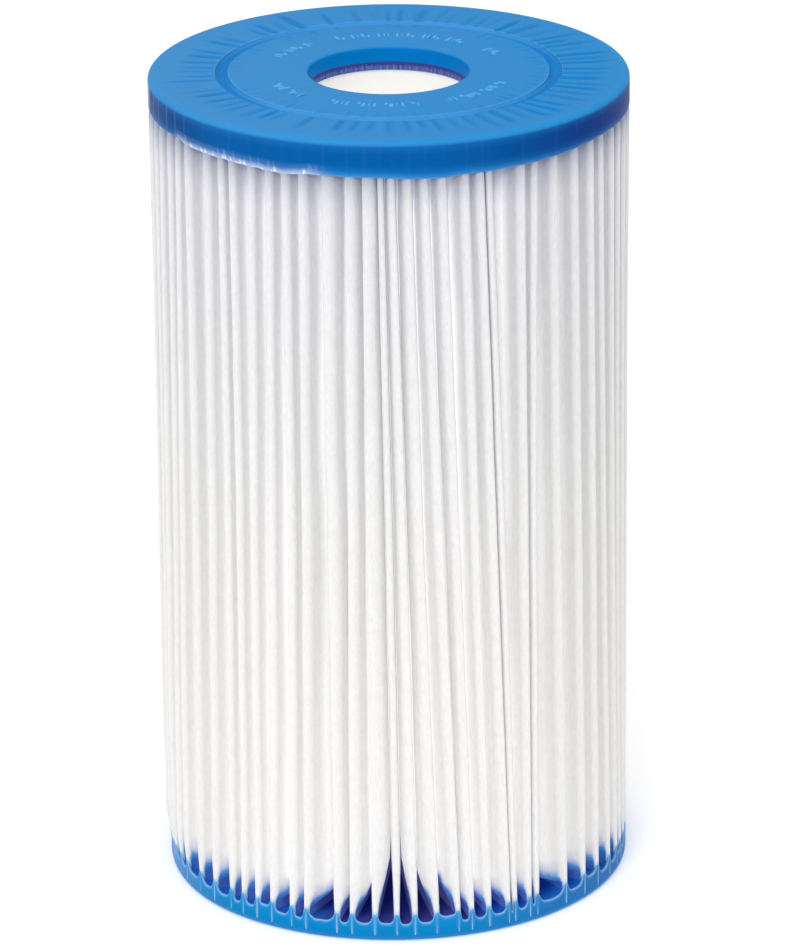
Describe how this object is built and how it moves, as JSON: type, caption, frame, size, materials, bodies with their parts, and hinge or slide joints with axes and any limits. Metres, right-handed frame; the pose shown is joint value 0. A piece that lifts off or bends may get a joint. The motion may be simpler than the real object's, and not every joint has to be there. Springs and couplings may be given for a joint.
{
  "type": "pleated filter cartridge",
  "caption": "Cylindrical pool filter cartridge: pleated white media round a windowed core, potted in blue cast end caps with a centre hole through both.",
  "frame": {"origin": "centre of the bottom end cap's outer face, on the cartridge's axis", "axes": "+Z along the cartridge's axis towards the top end cap; +Y towards the glued seam of the media"},
  "size_m": [0.1458, 0.1458, 0.254],
  "materials": {
    "cap_plastisol": "satin",
    "pleated_media": "matte",
    "core_plastic": "satin",
    "hot_melt": "satin"
  },
  "bodies": {
    "root": {"top_end_cap": "cap_plastisol", "bottom_end_cap": "cap_plastisol", "pleated_media": "pleated_media", "inner_core": "core_plastic", "side_seam_bead": "hot_melt"}
  },
  "joints": []
}
